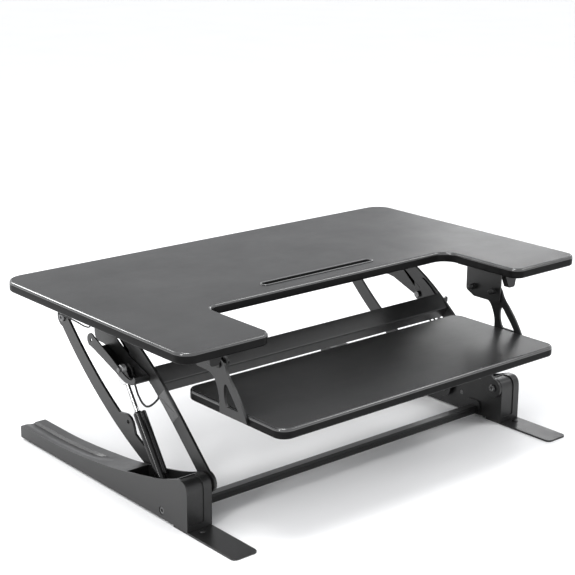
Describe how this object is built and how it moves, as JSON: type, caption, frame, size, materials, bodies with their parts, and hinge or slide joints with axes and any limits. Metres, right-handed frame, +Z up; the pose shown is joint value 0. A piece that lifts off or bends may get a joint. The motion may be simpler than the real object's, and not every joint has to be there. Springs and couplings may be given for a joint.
{
  "type": "standing desk converter",
  "caption": "Sit-stand desk riser: cut-out desktop with tablet slot and hung keyboard tray on a gas-sprung parallelogram lift with splayed feet.",
  "frame": {"origin": "on the floor under the middle of the bounding box", "axes": "+X to the user's right, +Y away from the user, +Z up"},
  "size_m": [0.9144, 0.667, 0.3374],
  "materials": {
    "board": "black textured laminate on fibreboard, matte",
    "powder": "black fine powder coat, satin",
    "plastic": "black moulded plastic",
    "rubber": "black rubber, matte",
    "bolt": "black-oxide steel fasteners, satin",
    "chrome": "hard chromed piston rod, polished",
    "cast": "die-cast release head, satin",
    "tube_paint": "black painted pressure tube, glossy"
  },
  "bodies": {
    "base": {"left_foot_housing": "powder", "left_foot_plate": "powder", "left_rear_foot_pad": "rubber", "left_foot_plate_screw": "bolt", "left_crossbar_bolt": "bolt", "left_front_foot_pivot_bolt": "bolt", "left_rear_foot_pivot_bolt": "bolt", "left_spring_lower_pin": "bolt", "right_foot_housing": "powder", "right_foot_plate": "powder", "right_rear_foot_pad": "rubber", "right_foot_plate_screw": "bolt", "right_crossbar_bolt": "bolt", "right_front_foot_pivot_bolt": "bolt", "right_rear_foot_pivot_bolt": "bolt", "right_spring_lower_pin": "bolt", "crossbar": "powder"},
    "front_arms": {"arm_cross_channel": "powder", "left_front_arm": "powder", "left_spring_pan": "powder", "left_spring_upper_pin_inner": "bolt", "left_spring_upper_pin_outer": "bolt", "left_release_cable": "rubber", "right_front_arm": "powder", "right_spring_pan": "powder", "right_spring_upper_pin_inner": "bolt", "right_spring_upper_pin_outer": "bolt", "right_release_cable": "rubber"},
    "deck": {"desktop": "board", "tablet_slot_liner": "plastic", "keyboard_tray": "board", "left_desk_rail": "powder", "left_front_desk_pivot_bolt": "bolt", "left_rear_desk_pivot_bolt": "bolt", "left_tray_hanger": "powder", "left_tray_arm": "powder", "left_tray_rear_thumb_bolt": "plastic", "left_tray_front_thumb_bolt": "plastic", "left_paddle_bracket": "powder", "left_paddle_cable": "rubber", "right_desk_rail": "powder", "right_front_desk_pivot_bolt": "bolt", "right_rear_desk_pivot_bolt": "bolt", "right_tray_hanger": "powder", "right_tray_arm": "powder", "right_tray_rear_thumb_bolt": "plastic", "right_tray_front_thumb_bolt": "plastic", "right_paddle_bracket": "powder", "right_paddle_cable": "rubber"},
    "rear_arm_left": {"left_rear_arm": "powder"},
    "spring_tube_left": {"left_gas_spring_tube": "tube_paint"},
    "spring_rod_left": {"left_gas_spring_rod": "chrome", "left_gas_spring_head": "cast"},
    "paddle_left": {"left_release_paddle": "plastic"},
    "rear_arm_right": {"right_rear_arm": "powder"},
    "spring_tube_right": {"right_gas_spring_tube": "tube_paint"},
    "spring_rod_right": {"right_gas_spring_rod": "chrome", "right_gas_spring_head": "cast"},
    "paddle_right": {"right_release_paddle": "plastic"}
  },
  "joints": [
    {"name": "lift", "type": "hinge", "parent": "base", "child": "front_arms", "pos_m": [0, -0.173, 0.072], "axis": [1, 0, 0], "range_deg": [-27, 18]},
    {"name": "deck_level", "type": "hinge", "parent": "front_arms", "child": "deck", "pos_m": [0, 0.12884, 0.28023], "axis": [1, 0, 0], "range_deg": [-18, 27]},
    {"name": "rear_arm_left", "type": "hinge", "parent": "base", "child": "rear_arm_left", "pos_m": [-0.3425, -0.0445, 0.038], "axis": [1, 0, 0], "range_deg": [-27, 18]},
    {"name": "spring_swing_left", "type": "hinge", "parent": "base", "child": "spring_tube_left", "pos_m": [-0.368, -0.085, 0.0367], "axis": [1, 0, 0], "range_deg": [-30.6, 20.4]},
    {"name": "spring_stroke_left", "type": "slide", "parent": "spring_tube_left", "child": "spring_rod_left", "axis": [0, 0.5568, 0.8307], "range_m": [-0.0408, 0.0272]},
    {"name": "paddle_pull_left", "type": "hinge", "parent": "deck", "child": "paddle_left", "pos_m": [-0.343, -0.1935, 0.308], "axis": [1, 0, 0], "range_deg": [-16, 0], "stiffness_Nm_per_rad": 0.5, "springref_deg": 8.59},
    {"name": "rear_arm_right", "type": "hinge", "parent": "base", "child": "rear_arm_right", "pos_m": [0.3425, -0.0445, 0.038], "axis": [1, 0, 0], "range_deg": [-27, 18]},
    {"name": "spring_swing_right", "type": "hinge", "parent": "base", "child": "spring_tube_right", "pos_m": [0.368, -0.085, 0.0367], "axis": [1, 0, 0], "range_deg": [-30.6, 20.4]},
    {"name": "spring_stroke_right", "type": "slide", "parent": "spring_tube_right", "child": "spring_rod_right", "axis": [0, 0.5568, 0.8307], "range_m": [-0.0408, 0.0272]},
    {"name": "paddle_pull_right", "type": "hinge", "parent": "deck", "child": "paddle_right", "pos_m": [0.343, -0.1935, 0.308], "axis": [1, 0, 0], "range_deg": [-16, 0], "stiffness_Nm_per_rad": 0.5, "springref_deg": 8.59}
  ],
  "couplings": [
    {"joint": "deck_level", "follows": "lift", "ratio": -1},
    {"joint": "rear_arm_left", "follows": "lift", "ratio": 1},
    {"joint": "spring_swing_left", "follows": "lift", "ratio": 1.1315},
    {"joint": "spring_stroke_left", "follows": "lift", "m_per_rad": 0.08636},
    {"joint": "rear_arm_right", "follows": "lift", "ratio": 1},
    {"joint": "spring_swing_right", "follows": "lift", "ratio": 1.1315},
    {"joint": "spring_stroke_right", "follows": "lift", "m_per_rad": 0.08636}
  ]
}
